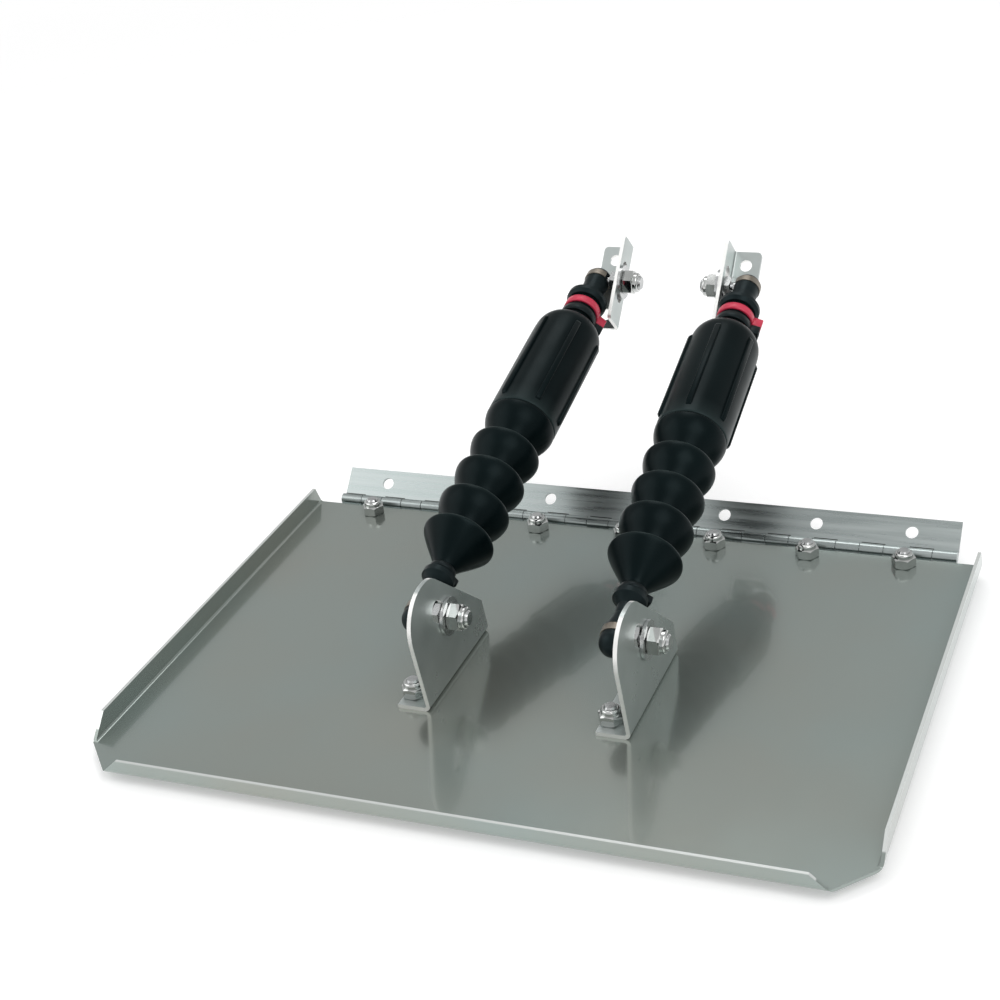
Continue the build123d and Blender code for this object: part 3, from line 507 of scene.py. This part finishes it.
def spun(bm, outline):
    """Closed outline of (radius, height) points spun round the z axis."""
    ring = [bm.verts.new((r, 0, z)) for r, z in outline]
    lines = [bm.edges.new((a, b)) for a, b in zip(ring, ring[1:] + ring[:1])]
    bmesh.ops.spin(
        bm, geom=ring + lines, cent=(0, 0, 0), axis=(0, 0, 1), angle=radians(360), steps=round_steps,
        use_merge=True,
    )


def placed(bm, name, side, made, turn=0.0):
    """Mesh object of a bmesh that was modelled along z, set on its actuator."""
    bmesh.ops.remove_doubles(bm, verts=bm.verts, dist=1e-6)
    bmesh.ops.recalc_face_normals(bm, faces=bm.faces)
    mesh = bpy.data.meshes.new(name)
    bm.to_mesh(mesh)
    bm.free()
    mesh.transform(along_actuator(side, turn))
    for face in mesh.polygons:
        face.use_smooth = True
    mesh.materials.append(made)
    piece = bpy.data.objects.new(name, mesh)
    bpy.context.scene.collection.objects.link(piece)
    return piece


def paint_rim_highlight(piece, side, rims):
    """Paint a highlight, as a lighter colour, along the lips of a boot, given as (height, radius)."""
    back = along_actuator(side).inverted()
    marks = piece.data.attributes.new("rim_highlight", "FLOAT", "POINT")
    for vertex, mark in zip(piece.data.vertices, marks.data):
        x, y, z = back @ vertex.co
        near = min(hypot(z - height, hypot(x, y) - radius) for height, radius in rims)
        mark.value = max(0.0, 1.0 - near / highlight_wide)


def softened(piece):
    """Subdivide the moulded skin of a boot."""
    skin = piece.modifiers.new("skin", "SUBSURF")
    skin.levels = skin.render_levels = 2


def rounded(piece, width, segments, angle):
    """Round the edges of a piece that are sharper than an angle in degrees."""
    worn = piece.modifiers.new("rounded", "BEVEL")
    worn.width = width
    worn.segments = segments
    worn.angle_limit = radians(angle)


def dome_arc(shoulder, radius, angles):
    """(radius, height) points of the dome over a shoulder, at angles up from level."""
    return [(dome_in + radius * cos(radians(a)), shoulder + radius * sin(radians(a))) for a in angles]


for side in ("left", "right"):
    collar = collar_at[side]
    start = collar - sleeve_long
    dome_top = collar - neck_long
    shoulder = dome_top - dome_tall
    bm = bmesh.new()
    spun(bm, [
        (sleeve_r - sleeve_wall, start), (sleeve_r - lip_round, start), (sleeve_r, start + lip_round),
        (sleeve_r, start + 2.2 * MM), (sleeve_r, shoulder - 4.0 * MM),
        *dome_arc(shoulder, dome_r - 0.1 * MM, dome_angles),
        (neck_r + 0.5 * MM, dome_top - 0.3 * MM), (neck_r, dome_top + 0.6 * MM),
        (neck_r, dome_top + 2.5 * MM), (neck_r, collar - 1.2 * MM), (neck_r - 0.3 * MM, collar),
        (neck_r - neck_wall, collar), (neck_r - neck_wall, dome_top - 1.5 * MM),
        *dome_arc(shoulder, dome_r - sleeve_wall, lining_angles),
        (sleeve_r - sleeve_wall, shoulder - 4.0 * MM),
    ])
    sleeve = placed(bm, "sleeve_" + side, side, boot_rubber)
    # painted highlight along the sleeve's lip
    paint_rim_highlight(sleeve, side, [(start + 0.4 * MM, sleeve_r - 0.2 * MM)])
    softened(sleeve)
    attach(sleeve, "cylinder_" + side)
    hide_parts("boot_sleeve_" + side)

    low, high = start + rib_start, shoulder
    crest, root = sleeve_r + rib_tall, sleeve_r - rib_deep
    outline = [
        (root, low), (sleeve_r + rib_foot, low), (crest, low + 1.8 * MM),
        (crest, high - 3.2 * MM), (sleeve_r + rib_foot, high - 1.2 * MM), (root, high - 0.6 * MM),
    ]
    bm = bmesh.new()
    for i in range(rib_total):
        strip = [bm.verts.new((r, -rib_wide / 2, z)) for r, z in outline]
        flat = bm.faces.new(strip)
        grown = bmesh.ops.extrude_face_region(bm, geom=[flat])["geom"]
        corners = [v for v in grown if isinstance(v, bmesh.types.BMVert)]
        bmesh.ops.translate(bm, verts=corners, vec=(0, rib_wide, 0))
        spin_by = Matrix.Rotation(radians(rib_turn[side] + i * 360 / rib_total), 3, "Z")
        bmesh.ops.rotate(bm, verts=strip + corners, cent=(0, 0, 0), matrix=spin_by)
    ribs = placed(bm, "sleeve_ribs_" + side, side, boot_rubber)
    rounded(ribs, rib_round, segments=3, angle=40)
    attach(ribs, "cylinder_" + side)

# Bellows
# The boot's thin lower end, moulded in the same rubber: a cuff on the socket's stem, a cone and
# four folds that hang like bowls from rounded rims, which let the real boot shorten with the rod;
# here it is one fixed mesh.
cuff_at = 25.2 * MM
cuff_r = 5.9 * MM
cuff_wall = 1.1 * MM
cone_at = 31.2 * MM
rim_at = 51.2 * MM
rim_r = 19.0 * MM
waist_r = 11.2 * MM
bellows_wall = 1.3 * MM
under_sleeve = 0.3 * MM
fold_total = 4
bowl_shape = (     # shares of the way out from the waist and up from one rim to the next
    (0.00, 0.16), (0.10, 0.26), (0.36, 0.41), (0.68, 0.57), (0.89, 0.74), (0.985, 0.88), (1.0, 0.955),
)

for side in ("left", "right"):
    top = collar_at[side] - sleeve_long - under_sleeve
    pitch = (top - rim_at) / fold_total
    rims = [rim_at + i * pitch for i in range(fold_total)]
    outside = [
        (cuff_r, cuff_at), (cuff_r, cone_at - 1.2 * MM), (cuff_r + 0.4 * MM, cone_at + 0.2 * MM),
        (cuff_r + 3.6 * MM, cone_at + 5.0 * MM), (cuff_r + 7.8 * MM, cone_at + 10.6 * MM),
        (rim_r - 2.0 * MM, rim_at - 4.6 * MM), (rim_r - 0.3 * MM, rim_at - 2.0 * MM),
        (rim_r, rim_at - 0.8 * MM),
    ]
    for rim in rims:
        wide = sleeve_r if rim == rims[-1] else rim_r
        outside += [
            (rim_r - 0.35 * MM, rim), (rim_r - 1.4 * MM, rim + 0.5 * MM),
            (waist_r + 2.0 * MM, rim + 1.8 * MM),
            *[(waist_r + (wide - waist_r) * out, rim + pitch * up) for out, up in bowl_shape],
        ]
    outside += [(sleeve_r, top - 0.5 * MM), (sleeve_r - 0.5 * MM, top)]
    inside = [(sleeve_r - 2 * bellows_wall, top), (sleeve_r - 2 * bellows_wall, top - 3.0 * MM)]
    for rim in reversed(rims):
        inside += [
            (waist_r + 0.4 * (rim_r - waist_r), rim + 0.55 * pitch), (waist_r - bellows_wall, rim + 4.8 * MM),
            (waist_r - bellows_wall, rim + 2.6 * MM), (rim_r - 4.5 * MM, rim - 0.8 * MM),
        ]
    inside += [(cuff_r - cuff_wall, cone_at + 1.0 * MM), (cuff_r - cuff_wall, cuff_at)]
    bm = bmesh.new()
    spun(bm, outside + inside)
    bellows = placed(bm, "bellows_" + side, side, boot_rubber)
    # painted highlight along the rims of the folds
    paint_rim_highlight(bellows, side, [(rim, rim_r - 0.4 * MM) for rim in rims])
    softened(bellows)
    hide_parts("boot_bellows_" + side)
    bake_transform(bellows)

# Cable ties
# Nylon straps pulled tight round the boot, each with its locking head and cut tail: a red one under
# the socket's collar, a black one below it and a small black one on the bellows' cuff.
tie_wide, tie_thick, tie_head = 4.8 * MM, 1.2 * MM, 6.4 * MM
small_wide, small_thick, small_head = 3.0 * MM, 1.1 * MM, 4.4 * MM
red_back, black_back, small_on = 5.4 * MM, 12.8 * MM, 3.0 * MM     # from the collar, and up the cuff
strap_edge = 0.25 * MM
head_long = 0.86     # of its width
head_gap = 0.3 * MM
head_round = 0.5 * MM
window_rim = 0.2     # of the head's width
window_deep = 0.9 * MM
tail_long = 2.6 * MM
tail_out = 0.9 * MM
tail_wide = 0.94     # of the strap's width
tie_round = 0.15 * MM


def nylon(name, colours):
    """Moulded strap nylon with fine lines across it."""
    return finish(
        name, colours=colours, mottle=dict(scale=160.0),
        rough=(0.30, 0.44), wear=dict(scale=320.0),
        bumps=dict(scale=500.0, stretch=(1, 1, 4), detail=2.0), bump_size=(0.10, 0.1 * MM),
    )


red_nylon = nylon("red_nylon", ((0.49, 0.022, 0.058), (0.60, 0.036, 0.082)))[0]
black_nylon, tree, shader, place = nylon("black_nylon", ((0.0040, 0.0055, 0.0060), (0.0080, 0.0100, 0.0105)))
shader.inputs["Specular IOR Level"].default_value = 0.16
shader.inputs["Specular Tint"].default_value = nylon_gloss


def strap(name, side, body, node, made, middle, inner, wide, thick, head, turn):
    """A cable tie round an actuator at height middle, its head turned to one side."""
    bm = bmesh.new()
    outer, low, high = inner + thick, middle - wide / 2, middle + wide / 2
    spun(bm, [
        (inner, low), (outer - strap_edge, low), (outer, low + strap_edge),
        (outer, high - strap_edge), (outer - strap_edge, high), (inner, high),
    ])
    block = bmesh.ops.create_cube(bm, size=1.0)["verts"]
    bmesh.ops.scale(bm, verts=block, vec=(head * head_long, head, head))
    bmesh.ops.translate(bm, verts=block, vec=(inner + head_gap + head * head_long / 2, 0, middle))
    faces = {f for v in block for f in v.link_faces}
    bmesh.ops.bevel(
        bm, geom=list({e for f in faces for e in f.edges}), offset=head_round, segments=2, profile=0.5,
        affect="EDGES", material=-1,
    )
    window = max(bm.faces, key=lambda f: f.calc_center_median().x)
    bmesh.ops.inset_region(bm, faces=[window], thickness=head * window_rim, depth=0)
    bmesh.ops.translate(bm, verts=window.verts, vec=(-window_deep, 0, 0))
    tail = bmesh.ops.create_cube(bm, size=1.0)["verts"]
    bmesh.ops.scale(bm, verts=tail, vec=(thick, tail_long, wide * tail_wide))
    bmesh.ops.translate(bm, verts=tail, vec=(inner + head * 0.5, head / 2 + tail_out, middle))
    tie = placed(bm, name, side, made, turn)
    rounded(tie, tie_round, segments=2, angle=50)
    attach(tie, body)
    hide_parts(node)


for side, turn in (("left", -45), ("right", -20)):
    strap(
        "tie_black_" + side, side, "cylinder_" + side, "black_tie_" + side, black_nylon,
        collar_at[side] - black_back, neck_r, tie_wide, tie_thick, tie_head, turn + 5,
    )
    strap(
        "tie_red_" + side, side, "cylinder_" + side, "red_tie_" + side, red_nylon,
        collar_at[side] - red_back, neck_r, tie_wide, tie_thick, tie_head, turn,
    )
    strap(
        "tie_cuff_" + side, side, "rod_" + side, "lower_tie_" + side, black_nylon,
        cuff_at + small_on, cuff_r, small_wide, small_thick, small_head, turn - 15,
    )
